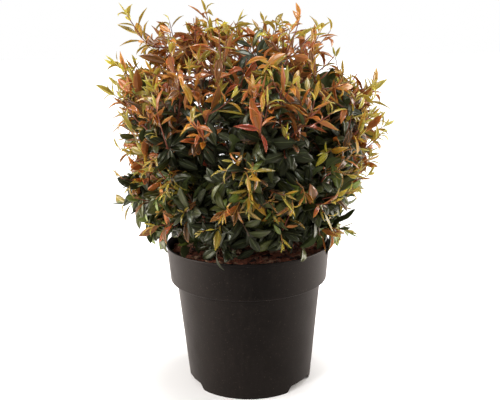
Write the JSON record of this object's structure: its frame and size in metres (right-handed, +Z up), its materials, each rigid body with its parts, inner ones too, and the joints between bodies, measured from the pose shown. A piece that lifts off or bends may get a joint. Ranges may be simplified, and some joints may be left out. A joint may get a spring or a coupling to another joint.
{
  "type": "potted photinia shrub",
  "caption": "Round bushy shrub with copper, bronze and dark green pointed leaves on branching stems, growing in a black tapered nursery pot filled with bark-topped soil.",
  "frame": {"origin": "middle of the flat underside of the pot, on the surface it stands on", "axes": "+Z up along the pot's axis, -Y towards the front of the plant as pictured, +X to the right"},
  "size_m": [0.4322, 0.4081, 0.5589],
  "materials": {
    "pot": "dark charcoal nursery pot plastic, faintly warm, semi-matt with fine moulding grain",
    "soil": "potting mix topped with red-brown bark chips, rough and matt",
    "bark": "grey-brown woody stems, fine lengthwise ridges, turning red-brown on young shoots",
    "foliage_top": "glossy young leaves, copper red to lime, pale midribs",
    "foliage_middle": "glossy leaves, bronze and copper shoots over dark green older leaves",
    "foliage_lower": "glossy dark green leaves with blue-grey sheen, some copper shoots"
  },
  "bodies": {
    "root": {"pot": "pot", "soil": "soil", "stem": "bark", "bough_top_1": "bark", "bough_top_2": "bark", "bough_top_3": "bark", "bough_middle_1": "bark", "bough_middle_2": "bark", "bough_middle_3": "bark", "bough_middle_4": "bark", "bough_middle_5": "bark", "bough_middle_6": "bark", "bough_lower_1": "bark", "bough_lower_2": "bark", "bough_lower_3": "bark", "bough_lower_4": "bark", "bough_lower_5": "bark", "foliage_top_1": "foliage_top", "foliage_top_2": "foliage_top", "foliage_top_3": "foliage_top", "foliage_middle_1": "foliage_middle", "foliage_middle_2": "foliage_middle", "foliage_middle_3": "foliage_middle", "foliage_middle_4": "foliage_middle", "foliage_middle_5": "foliage_middle", "foliage_middle_6": "foliage_middle", "foliage_lower_1": "foliage_lower", "foliage_lower_2": "foliage_lower", "foliage_lower_3": "foliage_lower", "foliage_lower_4": "foliage_lower", "foliage_lower_5": "foliage_lower"}
  },
  "joints": []
}
